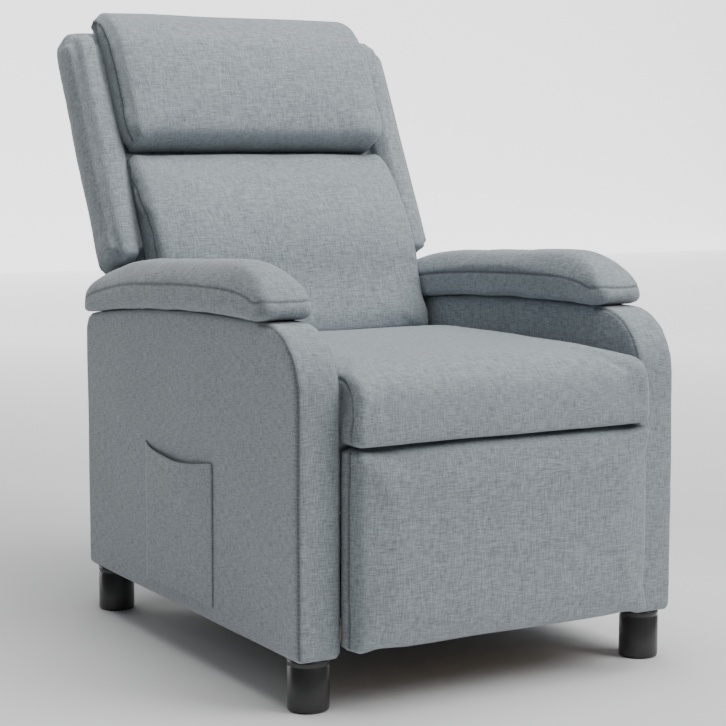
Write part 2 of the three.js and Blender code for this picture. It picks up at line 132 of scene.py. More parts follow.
def join(name, objects):
    """One mesh out of several, each already where it belongs."""
    verts, faces = [], []
    for o in objects:
        start = len(verts)
        verts += [v.co.copy() for v in o.data.vertices]
        faces += [[start + i for i in p.vertices] for p in o.data.polygons]
        bpy.data.objects.remove(o)
    return make_object(name, verts, faces)


def prism(name, outline, start, end, edge=0.0, segments=4, plan=False):
    """An outline in (y, z) run along x, or in plan one in (x, y) run along z, its end edges rounded."""
    count = len(outline)
    verts = [(a, b, t) if plan else (t, a, b) for t in (start, end) for a, b in outline]
    faces = [[i, (i + 1) % count, count + (i + 1) % count, count + i] for i in range(count)]
    faces += [list(range(count))[::-1], list(range(count, 2 * count))]
    obj = make_object(name, verts, faces)
    bm = bmesh.new()
    bm.from_mesh(obj.data)
    bmesh.ops.recalc_face_normals(bm, faces=bm.faces)
    if edge:
        run = 2 if plan else 0
        ends = [e for e in bm.edges if abs(e.verts[0].co[run] - e.verts[1].co[run]) < 1e-6]
        bmesh.ops.bevel(bm, geom=ends, offset=edge, segments=segments, affect="EDGES", clamp_overlap=True)
    bm.to_mesh(obj.data)
    bm.free()
    return obj


def smooth_line(points, step=0.004):
    """A Catmull-Rom curve through the points, at even steps."""
    pts = [np.array(p, float) for p in points]
    pts = [2 * pts[0] - pts[1]] + pts + [2 * pts[-1] - pts[-2]]
    dense = []
    for a, b, c, d in zip(pts, pts[1:], pts[2:], pts[3:]):
        slope, bend, twist = c - a, 2 * a - 5 * b + 4 * c - d, 3 * b - a - 3 * c + d
        for t in np.linspace(0, 1, 24, endpoint=False):
            dense.append(0.5 * (2 * b + slope * t + bend * t**2 + twist * t**3))
    dense.append(pts[-2])
    dense = np.array(dense)
    length = np.concatenate([[0], np.cumsum(np.linalg.norm(np.diff(dense, axis=0), axis=1))])
    even = np.linspace(0, length[-1], max(2, int(length[-1] / step) + 1))
    return np.stack([np.interp(even, length, dense[:, i]) for i in range(dense.shape[1])], axis=1)


def arc(cy, cz, r, start, end, count):
    """Points of a round stretch of outline. Angles in degrees, from +y towards +z."""
    return [
        (cy + r * math.cos(math.radians(a)), cz + r * math.sin(math.radians(a)))
        for a in np.linspace(start, end, count)
    ]


def upright_to_back(co):
    """From the back drawn upright, rear face on y = 0 and wings' foot on z = 0, to where it leans."""
    co = np.asarray(co, float).reshape(-1, 3)
    c, s = math.cos(LEAN), math.sin(LEAN)
    y = BACK_FOOT.y + co[:, 1] * c + co[:, 2] * s
    z = BACK_FOOT.z - co[:, 1] * s + co[:, 2] * c
    return np.stack([co[:, 0], y, z], axis=1)


def undulate(obj, depth, size, seed):
    """Slow unevenness of padding under cloth."""
    co, n = coords(obj), normals(obj)
    shift = Vector((seed * 3.1, seed * 1.7, seed * 0.9))
    wave = np.array([noise.noise(Vector(p) / size + shift) for p in co])
    set_coords(obj, co + n * (wave * depth)[:, None])


# ---- upholstery ----
def puff(obj, rise, held, cap=0.026):
    """Swells a cover like a filled cushion by simulation. held(co, n) says which points are sewn down.

    Each point's move is cut to `cap`, then all are scaled so that 98 in 100 move by `rise` at the most.
    """
    base = coords(obj)
    group = obj.vertex_groups.new(name="held")
    group.add([int(i) for i in np.nonzero(held(base, normals(obj)))[0]], 1.0, "REPLACE")
    cloth = obj.modifiers.new("cloth", "CLOTH")
    s = cloth.settings
    s.quality = 4
    s.mass = 0.2
    s.tension_stiffness = 12
    s.compression_stiffness = 12
    s.bending_stiffness = 0.6
    s.use_pressure = True
    s.uniform_pressure_force = 4.0
    s.vertex_group_mass = "held"
    s.effector_weights.gravity = 0
    cloth.collision_settings.use_collision = False
    cloth.point_cache.frame_start = 1
    cloth.point_cache.frame_end = SETTLE_FRAMES
    for f in range(1, SETTLE_FRAMES + 1):
        scene.frame_set(f)
    depsgraph = bpy.context.evaluated_depsgraph_get()
    swollen = np.zeros(base.size)
    obj.evaluated_get(depsgraph).data.vertices.foreach_get("co", swollen)
    obj.modifiers.clear()
    obj.vertex_groups.clear()
    scene.frame_set(1)
    move = swollen.reshape(-1, 3) - base
    far = np.linalg.norm(move, axis=1)
    move *= (np.minimum(far, cap) / np.maximum(far, 1e-9))[:, None]
    most = np.percentile(np.linalg.norm(move, axis=1), 98)
    set_coords(obj, base + move * min(1.5, rise / max(most, 1e-6)))


def tube(name, line, n, radius, sides=8):
    """A round welt along a line that lies on a surface with normals n."""
    tangent = np.gradient(line, axis=0)
    tangent /= np.linalg.norm(tangent, axis=1)[:, None]
    across = np.cross(tangent, n)
    across /= np.linalg.norm(across, axis=1)[:, None]
    out = np.cross(across, tangent)
    verts, faces = [], []
    for k in range(sides):
        a = 2 * math.pi * k / sides
        verts.append(line + radius * (math.cos(a) * across + math.sin(a) * out))
    verts = np.stack(verts, axis=1).reshape(-1, 3)
    for i in range(len(line) - 1):
        for k in range(sides):
            a, b = i * sides + k, i * sides + (k + 1) % sides
            faces.append([a, b, b + sides, a + sides])
    faces.append(list(range(sides))[::-1])
    last = (len(line) - 1) * sides
    faces.append([last + k for k in range(sides)])
    obj = make_object(name, verts, faces)
    obj.data.shade_smooth()
    return obj


def stitches(name, line, n, offset, length=0.0032, gap=0.0016, radius=0.00042):
    """A row of lockstitches beside a seam, each a small spindle sunk a little into the cloth."""
    tangent = np.gradient(line, axis=0)
    tangent /= np.linalg.norm(tangent, axis=1)[:, None]
    across = np.cross(tangent, n)
    across /= np.linalg.norm(across, axis=1)[:, None]
    run = np.concatenate([[0], np.cumsum(np.linalg.norm(np.diff(line, axis=0), axis=1))])
    verts, faces = [], []
    at = gap
    while at + length < run[-1]:
        i = min(int(np.searchsorted(run, at + length / 2)), len(line) - 1)
        middle = line[i] + across[i] * offset + n[i] * STITCH_PROUD
        t, a, o = tangent[i], across[i], n[i]
        start = len(verts)
        verts += [middle - t * length / 2 - o * radius, middle + t * length / 2 - o * radius]
        verts += [middle + a * radius, middle + o * radius * 1.3, middle - a * radius, middle - o * radius]
        for k in range(4):
            ring = (start + 2 + k, start + 2 + (k + 1) % 4)
            faces += [[start, ring[1], ring[0]], [start + 1, ring[0], ring[1]]]
        at += length + gap
    return make_object(name, verts, faces)


def refine_near(obj, near, reach=0.009):
    """Halves the mesh's edges close to a seam, so that its crease comes out crisp."""
    bm = bmesh.new()
    bm.from_mesh(obj.data)
    close = {v for v in bm.verts if near.find(v.co)[2] < reach}
    edges = [e for e in bm.edges if e.verts[0] in close and e.verts[1] in close]
    bmesh.ops.subdivide_edges(bm, edges=edges, cuts=1, use_grid_fill=True)
    bm.to_mesh(obj.data)
    bm.free()
    obj.data.shade_smooth()


# Painted shade for seam creases: a point layer that darkens the cloth's colour where its value is high.
def painted_crease_shade_layer(obj):
    layer = obj.data.attributes.get("crease")
    return layer or obj.data.attributes.new("crease", "FLOAT", "POINT")


def seam(obj, path, parts, width=0.0026, depth=0.0026, welt=0.0, pucker=0.0007, rows=(STITCH_OFFSET,)):
    """Draws a sewn seam into a padded surface, with the puckers that it pulls, and paints shade into its
    crease.

    Its welt and its rows of stitches, each an offset from the seam, are added to parts.
    """
    line = smooth_line(path)
    faces = [list(p.vertices) for p in obj.data.polygons]
    tree = BVHTree.FromPolygons([v.co for v in obj.data.vertices], faces)
    hits = [tree.find_nearest(Vector(p)) for p in line]
    line = np.array([h[0] for h in hits])
    n = np.array([h[1] for h in hits])
    for _ in range(8):
        line[1:-1] = (line[:-2] + line[1:-1] * 2 + line[2:]) / 4
        n[1:-1] = (n[:-2] + n[1:-1] * 2 + n[2:]) / 4
    n /= np.linalg.norm(n, axis=1)[:, None]
    near = KDTree(len(line))
    for i, p in enumerate(line):
        near.insert(p, i)
    near.balance()
    refine_near(obj, near)
    co, vn = coords(obj), normals(obj)
    layer = painted_crease_shade_layer(obj)
    for i, p in enumerate(co):
        _, k, d = near.find(p)
        if d < SEAM_REACH:
            # Painted shade: darkest on the seam line, fading over a few millimetres to either side.
            shade = math.exp(-((d / (width * 1.1)) ** 2))
            layer.data[i].value = max(layer.data[i].value, shade)
            fold = noise.noise(Vector((k * 0.22, d * 30, len(line) * 0.37)))
            dip = depth * math.exp(-((d / width) ** 2))
            co[i] += vn[i] * (pucker * fold * math.exp(-((d / PUCKER_REACH) ** 2)) - dip)
    set_coords(obj, co)
    if welt:
        parts["welt"].append(tube("welt", line - n * (depth - welt * 0.5), n, welt))
    for offset in rows:
        parts["thread"].append(stitches("thread", line - n * depth * 0.1, n, offset))


def one_row(side):
    """A single row of stitches, beside the seam on the side that the sign says."""
    return (math.copysign(STITCH_OFFSET, side),)


def new_parts():
    return {"welt": [], "thread": []}


def remember_weave(obj):
    """Keeps each point's place and facing while the piece is upright, for the weave to follow."""
    for key, data in (("weave", coords(obj)), ("facing", np.abs(normals(obj)))):
        layer = obj.data.attributes.new(key, "FLOAT_VECTOR", "POINT")
        layer.data.foreach_set("vector", data.astype(np.float32).ravel())


def dress(obj, parts, body, nodes=(), leaning=False):
    """Gives an upholstered piece and its sewing their material, place and body."""
    pieces = [(obj, FABRIC)]
    for kind, material in (("welt", FABRIC), ("thread", THREAD)):
        if parts[kind]:
            pieces.append((join(f"{obj.name}_{kind}", parts[kind]), material))
    for piece, material in pieces:
        piece.data.shade_smooth()
        remember_weave(piece)
        if leaning:
            set_coords(piece, upright_to_back(coords(piece)))
        piece.data.materials.clear()
        piece.data.materials.append(material)
        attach(piece, body)
    if nodes:
        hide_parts(*nodes)


# ---- materials ----
class Shader:
    """A material's node tree, with short ways to add to it."""

    def __init__(self, name):
        self.material = bpy.data.materials.new(name)
        self.material.use_nodes = True
        self.tree = self.material.node_tree
        self.bsdf = self.tree.nodes["Principled BSDF"]

    def node(self, kind, **settings):
        made = self.tree.nodes.new("ShaderNode" + kind)
        for key, value in settings.items():
            setattr(made, key, value)
        return made

    def link(self, a, b):
        self.tree.links.new(a, b)

    def value(self, operation, a, b):
        made = self.node("Math", operation=operation)
        for socket, given in zip(made.inputs, (a, b)):
            if isinstance(given, (int, float)):
                socket.default_value = given
            else:
                self.link(given, socket)
        return made.outputs[0]

    def place(self, attribute=None):
        if attribute:
            return self.node("Attribute", attribute_name=attribute).outputs["Vector"]
        return self.node("TexCoord").outputs["Object"]

    def noise(self, vector, scale, size=1.0, detail=2.0, rough=0.6):
        mapping = self.node("Mapping")
        mapping.inputs["Scale"].default_value = scale
        self.link(vector, mapping.inputs["Vector"])
        made = self.node("TexNoise")
        made.inputs["Scale"].default_value = size
        made.inputs["Detail"].default_value = detail
        made.inputs["Roughness"].default_value = rough
        self.link(mapping.outputs[0], made.inputs["Vector"])
        return made.outputs[0]

    def blend(self, factor, a, b):
        made = self.node("MixRGB")
        for socket, given in zip(made.inputs, (factor, a, b)):
            if isinstance(given, tuple):
                socket.default_value = (*given, 1)
            elif isinstance(given, float):
                socket.default_value = given
            else:
                self.link(given, socket)
        return made.outputs[0]

    def bump(self, height, strength, distance):
        made = self.node("Bump")
        made.inputs["Strength"].default_value = strength
        made.inputs["Distance"].default_value = distance
        self.link(height, made.inputs["Height"])
        self.link(made.outputs[0], self.bsdf.inputs["Normal"])

    def set(self, **values):
        for key, value in values.items():
            self.bsdf.inputs[key.replace("_", " ")].default_value = value


# The weave's noise per metre: across a thread, along it and through the cloth.
THREAD_COUNT, THREAD_LENGTHS, THREAD_DEPTH = 1050, 72, 25
# How much the threads, their thick places and the slow patches change the tone.
THREAD_TONE, SLUB_TONE, PATCH_TONE = 1.65, 0.28, 0.16
# How strongly the painted shade in seam creases darkens the cloth.
PAINTED_CREASE_SHADE = 0.8


def linen(name, dark, light):
    """A plain melange weave. Its threads run along whichever two directions lie in the face."""
    s = Shader(name)
    at, facing = s.place("weave"), s.place("facing")
    split = s.node("SeparateXYZ")
    s.link(facing, split.inputs[0])
    weights = [s.value("POWER", split.outputs[i], 5.0) for i in range(3)]
    weight_sum = s.value("ADD", s.value("ADD", weights[0], weights[1]), weights[2])
    total = None
    for away, weight in enumerate(weights):
        u, v = [i for i in range(3) if i != away]
        for long_way, cross_way in ((u, v), (v, u)):
            scale = [THREAD_DEPTH] * 3
            scale[long_way] = THREAD_LENGTHS
            scale[cross_way] = THREAD_COUNT
            threads = s.value("SUBTRACT", s.noise(at, scale, detail=1.5, rough=0.6), 0.5)
            shown = s.value("MULTIPLY", threads, s.value("DIVIDE", weight, weight_sum))
            total = shown if total is None else s.value("ADD", total, shown)
    slubs = s.value("SUBTRACT", s.noise(at, (1, 1, 1), size=160, detail=3, rough=0.65), 0.5)
    patches = s.value("SUBTRACT", s.noise(at, (1, 1, 1), size=7, detail=2), 0.5)
    mixed = s.value("ADD", s.value("MULTIPLY", total, THREAD_TONE), s.value("MULTIPLY", slubs, SLUB_TONE))
    mixed = s.value("ADD", s.value("ADD", mixed, s.value("MULTIPLY", patches, PATCH_TONE)), 0.5)
    cloth = s.blend(mixed, dark, light)
    # Painted shade in seam creases: the cloth's colour is mixed towards about a third of its dark tone.
    painted_crease_shade_value = s.node("Attribute", attribute_name="crease").outputs["Fac"]
    crease = s.value("MULTIPLY", painted_crease_shade_value, PAINTED_CREASE_SHADE)
    s.link(s.blend(crease, cloth, tuple(c * 0.35 for c in dark)), s.bsdf.inputs["Base Color"])
    s.bump(total, 0.5, 0.0006)
    s.set(Roughness=0.92, Specular_IOR_Level=0.12, Sheen_Weight=0.22, Sheen_Roughness=0.5)
    return s.material


def plastic(name):
    s = Shader(name)
    at = s.place()
    worn = s.noise(at, (1, 1, 1), size=35, detail=4)
    s.link(s.blend(worn, (0.028, 0.028, 0.029), (0.046, 0.046, 0.047)), s.bsdf.inputs["Base Color"])
    s.link(s.value("ADD", s.value("MULTIPLY", worn, 0.16), 0.24), s.bsdf.inputs["Roughness"])
    s.bump(s.noise(at, (1, 1, 1), size=900, detail=2), 0.06, 0.0004)
    s.set(Specular_IOR_Level=0.5)
    return s.material


def metal(name, dark, light, rough):
    s = Shader(name)
    at = s.place()
    stain = s.noise(at, (1, 1, 1), size=26, detail=5)
    brushed = s.noise(at, (500, 40, 500), detail=2)
    s.link(s.blend(stain, dark, light), s.bsdf.inputs["Base Color"])
    s.link(s.value("ADD", s.value("MULTIPLY", brushed, 0.2), rough), s.bsdf.inputs["Roughness"])
    s.bump(brushed, 0.08, 0.0003)
    s.set(Metallic=1.0)
    return s.material


def timber(name):
    s = Shader(name)
    at = s.place()
    grain = s.noise(at, (90, 9, 90), detail=5, rough=0.65)
    s.link(s.blend(grain, (0.34, 0.2, 0.1), (0.62, 0.44, 0.26)), s.bsdf.inputs["Base Color"])
    s.link(s.value("ADD", s.value("MULTIPLY", grain, 0.25), 0.5), s.bsdf.inputs["Roughness"])
    s.bump(grain, 0.2, 0.0006)
    return s.material


def strap(name):
    s = Shader(name)
    at = s.place()
    weft = s.noise(at, (700, 90, 700), detail=2)
    s.link(s.blend(weft, (0.012, 0.012, 0.013), (0.05, 0.05, 0.052)), s.bsdf.inputs["Base Color"])
    s.bump(weft, 0.4, 0.0005)
    s.set(Roughness=0.85, Specular_IOR_Level=0.2)
    return s.material


FABRIC = linen("linen_weave", dark=(0.185, 0.208, 0.224), light=(0.425, 0.475, 0.51))
THREAD = linen("sewing_thread", dark=(0.34, 0.38, 0.4), light=(0.48, 0.53, 0.56))
PLASTIC = plastic("black_plastic")
WEBBING = strap("woven_webbing")
CAD_MATERIALS = {
    "frame_wood": timber("birch_ply"),
    "mechanism_steel": metal("plated_steel", (0.42, 0.43, 0.44), (0.66, 0.66, 0.65), 0.3),
    "spring_steel": metal("oiled_spring_steel", (0.1, 0.1, 0.11), (0.24, 0.24, 0.25), 0.35),
    "webbing": WEBBING,
    "leg_plastic": PLASTIC,
    "upholstery": FABRIC,
}


# ---- the arms ----
CROWN_AT = 0.2
CROWN = ARM_LO.y + CROWN_AT
REAR_FALL, FRONT_FALL = 0.034, 0.003
NOSE_R, TAIL_R, TOE_R = 0.096, 0.034, 0.008
BAND_IN, BAND_DOWN = 0.0016, 0.0022


def arm_top(y):
    """The height of the arm's top, which falls away before and behind its crown."""
    back = max(0.0, y - CROWN) / (ARM_HI.y - CROWN)
    front = max(0.0, CROWN - y) / CROWN_AT
    return ARM_HI.z - REAR_FALL * back**2 - FRONT_FALL * front**2


def arm_outline():
    """The arm seen from the side, from the rear toe round the bottom and the nose to the tail."""
    low, front, rear = ARM_LO.z, ARM_LO.y, ARM_HI.y
    nose, tail = front + NOSE_R, rear - TAIL_R
    points = arc(rear - TOE_R, low + TOE_R, TOE_R, 0, -90, 5)
    points += arc(front + TOE_R, low + TOE_R, TOE_R, -90, -180, 5)
    points += arc(nose, arm_top(nose) - NOSE_R, NOSE_R, 180, 90, 14)
    points += [(y, arm_top(y)) for y in np.linspace(nose, tail, 26)[1:-1]]
    points += arc(tail, arm_top(tail) - TAIL_R, TAIL_R, 90, 0, 7)
    return points


def make_arm(side):
    sign = SIDES[side]
    arm = prism(f"arm_upholstery_{side}", arm_outline(), sign * ARM_IN, sign * ARM_OUT, edge=0.005)
    arm = relax(voxel(arm, VOXEL), 1)
    undulate(arm, 0.0012, 0.14, 2 + sign)
    parts = new_parts()
    nose = ARM_LO.y + NOSE_R
    nose_foot = arm_top(nose) - NOSE_R
    band = [(ARM_LO.y + BAND_DOWN, z) for z in np.linspace(ARM_LO.z + 0.004, nose_foot, 9)]
    band += arc(nose, nose_foot, NOSE_R - BAND_DOWN, 170, 80, 8)
    for x in (ARM_IN + BAND_IN, ARM_OUT - BAND_IN):
        path = [(sign * x, y, z) for y, z in band]
        seam(arm, path, parts, width=0.002, depth=0.0016, pucker=0.0003, rows=())
    dress(arm, parts, "base", nodes=[f"arm_cover_{side}"])


PAD_TALL, PAD_LENGTH = 0.083, PAD_HI.y - PAD_LO.y
PAD_GAP, PAD_NOSE_LIFT = 0.0012, 0.012
PAD_SLOPE, PAD_SHRINK = 0.014, 0.014
PAD_SEAM_LOW, PAD_SEAM_RISE = 0.004, 0.036
# Shares of the pad's length: where its rounded nose ends and its tail begins, and their radii.
PAD_NOSE, PAD_NOSE_R, PAD_TAIL, PAD_TAIL_R = 0.2, 0.204, 0.62, 0.42


def pad_rounding(t):
    """How full the pad stands at a share t of its length, from 0 to 1."""
    front = math.sqrt(1 - ((PAD_NOSE - min(t, PAD_NOSE)) / PAD_NOSE_R) ** 2)
    rear = math.sqrt(1 - ((max(t, PAD_TAIL) - PAD_TAIL) / PAD_TAIL_R) ** 2)
    return front * rear


def make_arm_pad(side):
    """A long pillow that overhangs the arm and thins out towards its tail."""
    sign = SIDES[side]
    top, bottom = [], []
    for y in PAD_LO.y + PAD_LENGTH * np.linspace(0, 1, 60) ** 1.3:
        t = (y - PAD_LO.y) / PAD_LENGTH
        top.append((y, arm_top(y) + PAD_TALL * pad_rounding(t)))
        lift = PAD_NOSE_LIFT * max(0.0, 1 - t / 0.05) ** 2
        bottom.append((y, arm_top(y) + PAD_GAP + lift))
    outline = bottom + top[::-1]
    pad = prism(f"arm_pad_cushion_{side}", outline, sign * PAD_LO.x, sign * PAD_HI.x, edge=0.006)
    pad = voxel(pad, VOXEL)
    co = coords(pad)
    middle = sign * (PAD_LO.x + PAD_HI.x) / 2
    half = (PAD_HI.x - PAD_LO.x) / 2
    for i, (x, y, z) in enumerate(co):
        t = min(1, max(0, (y - PAD_LO.y) / PAD_LENGTH))
        high = max(0.0, z - arm_top(y)) / PAD_TALL
        across = min(1.0, abs(x - middle) / half)
        slope = PAD_SLOPE * high**1.5 * across**3
        shrink = PAD_SHRINK * high**2 * across
        plan = math.sqrt(max(0.0, 1 - (max(0.0, 0.05 - t) / 0.06) ** 2))
        tip = math.sqrt(max(0.0, 1 - (max(0.0, t - 0.93) / 0.08) ** 2))
        width = (1 - shrink / half * across) * min(plan, tip) ** 0.5
        co[i] = (middle + (x - middle) * width, y, z - slope)
    set_coords(pad, co)
    relax(pad, 5)
    puff(pad, 0.007, lambda c, n: n[:, 2] < -0.6, cap=0.014)
    undulate(pad, 0.0015, 0.07, 5 + sign)
    co = coords(pad)
    co[:, 0] = sign * np.clip(sign * co[:, 0], PAD_LO.x + 0.0006, PAD_HI.x + 0.002)
    set_coords(pad, co)
    parts = new_parts()
    line = []
    for t in np.linspace(0.96, 0.04, 24):
        y = PAD_LO.y + t * PAD_LENGTH
        line.append((PAD_HI.x, y, arm_top(y) + PAD_SEAM_LOW + PAD_SEAM_RISE * pad_rounding(t)))
    nose_z = arm_top(PAD_LO.y) + PAD_SEAM_RISE
    nose = [(x, PAD_LO.y - 0.004, nose_z) for x in (PAD_HI.x - 0.02, PAD_LO.x + 0.02)]
    line = line + nose + [(PAD_LO.x, y, z) for _, y, z in line[::-1]]
    seam(pad, [(sign * x, y, z) for x, y, z in line], parts, width=0.002, depth=0.0016, rows=())
    dress(pad, parts, "base", nodes=[f"arm_pad_{side}"])


# ---- the seat and the footrest ----
SEAT_CROWN, SEAT_NOSE_R, SEAT_TOE_R, SEAT_REAR_CUT = 0.003, 0.034, 0.007, 0.012
SEAT_TOP_REAR, SEAT_TOP_FRONT = 0.06, -0.42
LIP_MARGIN, LIP_DROP = 0.004, 0.0015


def make_seat():
    """The cushion with its waterfall front, and a lip of cloth down over the front rail."""
    front, rear = SEAT_LO.y + 0.003, SEAT_HI.y + 0.005
    low, high = SEAT_LO.z - LIP_DROP, SEAT_HI.z - 0.005
    outline = [(rear, low), (rear, high - SEAT_REAR_CUT), (rear - SEAT_REAR_CUT, high)]
    for y in np.linspace(SEAT_TOP_REAR, SEAT_TOP_FRONT, 14):
        outline.append((y, high + SEAT_CROWN * math.sin((y - rear) / (front - rear) * math.pi)))
    outline += arc(front + SEAT_NOSE_R, high - SEAT_NOSE_R, SEAT_NOSE_R, 80, 180, 8)
    outline += arc(front + SEAT_TOE_R, low + SEAT_TOE_R, SEAT_TOE_R, 180, 270, 4)
    seat = prism("seat_cushion_cover", outline[::-1], SEAT_LO.x - 0.001, SEAT_HI.x + 0.001, edge=0.007)
    rail_lo, rail_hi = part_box("seat_rail_front")
    lip_front, lip_rear = rail_lo.y - LIP_MARGIN, rail_hi.y + LIP_MARGIN
    lip_foot, lip_top = rail_lo.z - LIP_DROP, low + 0.02
    lip = [(lip_front, lip_foot), (lip_front, lip_top), (lip_rear, lip_top), (lip_rear, lip_foot)]
    seat = join("seat_cushion_cover", [seat, prism("lip", lip, SEAT_LO.x, SEAT_HI.x, edge=0.003)])
    seat = relax(voxel(seat, VOXEL), 2)
    puff(seat, 0.012, lambda c, n: (n[:, 2] < -0.5) | (n[:, 1] > 0.6))
    undulate(seat, 0.002, 0.13, 11)
    co = coords(seat)
    co[:, 0] = np.clip(co[:, 0], SEAT_LO.x - 0.0012, SEAT_HI.x + 0.0012)
    ahead = co[:, 1] < rail_lo.y - 2 * LIP_MARGIN
    co[ahead, 2] = np.maximum(co[ahead, 2], low)
    set_coords(seat, co)
    parts = new_parts()
    side = [(front + 0.022, low + 0.006), (front + 0.021, low + 0.03), (front + 0.021, high - 0.05)]
    side += [(front + 0.026, high - 0.03), (front + 0.045, high - 0.014), (front + 0.08, high - 0.006)]
    side += [(y, high - 0.004) for y in (-0.36, -0.25, -0.1, 0.03)]
    for x in (SEAT_LO.x, SEAT_HI.x):
        seam(seat, [(x, y, z) for y, z in side], parts, rows=one_row(-x))
    dress(seat, parts, "seat", nodes=["seat_cushion"])


def make_footrest():
    """The pad, with its cloth drawn back round the edge of the board."""
    front, rear, r = FOOT_LO.y + 0.004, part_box("footrest_board")[1].y - 0.0003, 0.011
    low_x, high_x = FOOT_LO.x - 0.0015, FOOT_HI.x + 0.0015
    outline = [(high_x, rear)] + arc(high_x - r, front + r, r, 0, -90, 8)
    outline += arc(low_x + r, front + r, r, -90, -180, 8) + [(low_x, rear)]
    pad = prism("footrest_cushion", outline, FOOT_LO.z - 0.001, FOOT_HI.z + 0.0015, edge=0.006, plan=True)
    pad = relax(voxel(pad, VOXEL), 1)
    puff(pad, 0.008, lambda c, n: n[:, 1] > 0.5)
    undulate(pad, 0.0018, 0.12, 17)
    co = coords(pad)
    co[:, 0] = np.clip(co[:, 0], low_x, high_x)
    co[:, 2] = np.clip(co[:, 2], FOOT_LO.z - 0.002, FOOT_HI.z + 0.0015)
    set_coords(pad, co)
    parts = new_parts()
    for x in (FOOT_LO.x, FOOT_HI.x):
        path = [(x, rear - 0.022, z) for z in np.linspace(FOOT_LO.z + 0.004, FOOT_HI.z - 0.004, 12)]
        seam(pad, path, parts, rows=one_row(x))
    dress(pad, parts, "footrest", nodes=["footrest_pad"])


# ---- the back, drawn upright from its foot ----
WING_OUT, WING_IN, WING_FRONT, WING_TOP = 0.3065, 0.2442, -0.096, 0.426
BACK_LOW, NARROW, APRON_LOW, APRON_HIGH = -0.1903, 0.2375, -0.044, 0.02
SLAB_FRONT, CUSHION_REAR = -0.0612, -0.0622


def make_back():
    """The slab behind the cushions with its wings, and its narrower foot between the arms."""
    wing = [(-0.001, -0.008), (WING_FRONT + 0.003, -0.008)]
    wing += arc(WING_FRONT + 0.044, WING_TOP - 0.05, 0.042, 180, 90, 9)
    wing += [(-0.02, WING_TOP), (-0.001, WING_TOP - 0.012)]
    parts = new_parts()
    shapes = []
    for sign in SIDES.values():
        shapes.append(prism("wing", wing[::-1], sign * WING_IN, sign * WING_OUT, edge=0.016))
    plate = [(SLAB_FRONT, 0.0), (SLAB_FRONT, WING_TOP), (-0.012, WING_TOP)]
    plate += [(-0.001, WING_TOP - 0.012), (0.0, 0.0)]
    shapes.append(prism("plate", plate, -WING_OUT + 0.004, WING_OUT - 0.004, edge=0.006))
    for width, low in ((NARROW, BACK_LOW), (WING_IN + 0.004, APRON_LOW)):
        apron = [(SLAB_FRONT, low), (SLAB_FRONT, APRON_HIGH), (0.0, APRON_HIGH), (0.0, low)]
        shapes.append(prism("apron", apron, -width, width, edge=0.005))
    back = relax(voxel(join("back_upholstery", shapes), BACK_VOXEL), 3)
    puff(back, 0.0045, lambda c, n: np.abs(c[:, 0]) < WING_IN + 0.004, cap=0.01)
    undulate(back, 0.0014, 0.12, 23)
    for x in (-WING_OUT, WING_OUT):
        path = [(x, -0.014, z) for z in np.linspace(0.0, WING_TOP - 0.03, 14)]
        path += [(x * 0.998, -0.022, WING_TOP - 0.008)]
        path += [(x * 0.96, -0.026, WING_TOP), (x * 0.86, -0.026, WING_TOP)]
        seam(back, path, parts, width=0.002, depth=0.0016, welt=0.0013, rows=())
    dress(back, parts, "back", nodes=["back_cover", "wing_left", "wing_right"], leaning=True)


def pillow(name, front, rear, half, corner, rise, seed, edge=0.016):
    """A back cushion: its front profile in (y, z) from the bottom up, rounded at the sides."""
    outline = smooth_line(front, step=0.006).tolist() + rear
    body = prism(name, outline[::-1], -half, half, edge=edge, segments=6)
    body = voxel(body, VOXEL)
    co = coords(body)
    low, high = co[:, 2].min(), co[:, 2].max()
    for i, (x, y, z) in enumerate(co):
        forward = max(0.0, -0.062 - y) / 0.08
        near_top = max(0.0, 1 - (high - z) / corner)
        near_foot = max(0.0, 1 - (z - low) / corner)
        side = abs(x) / half
        pull = 0.008 * (near_top**2 + near_foot**2) * side**6
        co[i][0] = x * (1 - pull / half)
        co[i][1] = y + 0.006 * min(1.0, forward) * side**5
    set_coords(body, co)
    relax(body, 4)
    puff(body, rise, lambda c, n: c[:, 1] > -0.066)
    undulate(body, 0.002, 0.12, seed)
    return body


# The lumbar cushion is held in between the wings, and bulges in front of them above the arm pads.
BETWEEN_WINGS, WING_OVERLAP, ABOVE_PADS = 0.2438, 0.008, 0.05


def make_lumbar():
    front = [(-0.123, -0.1765), (-0.129, -0.150), (-0.128, -0.1138), (-0.132, -0.0673), (-0.139, -0.0245)]
    front += [(-0.139, 0.0315), (-0.130, 0.0847), (-0.118, 0.13), (-0.101, 0.171), (-0.078, 0.1835)]
    rear = [(CUSHION_REAR, 0.184), (CUSHION_REAR, -0.1765)]
    body = pillow("lumbar_pillow", front, rear, half=0.2485, corner=0.05, rise=0.006, seed=31)
    co = coords(body)
    free = np.clip((co[:, 2] - ABOVE_PADS) / ABOVE_PADS, 0, 1)
    limit = BETWEEN_WINGS + WING_OVERLAP * free * (co[:, 1] < WING_FRONT + 0.006)
    co[:, 0] = np.clip(co[:, 0], -limit, limit)
    set_coords(body, co)
    parts = new_parts()
    side = [(y + 0.027, z) for y, z in front[1:-1]]
    for x in (-0.243, 0.243):
        path = [(x, y, z) for y, z in side] + [(x * 0.96, -0.078, 0.172), (x * 0.8, -0.072, 0.178)]
        seam(body, path, parts, pucker=0.0016, rows=one_row(-x))
    dress(body, parts, "back", nodes=["lumbar_cushion"], leaning=True)


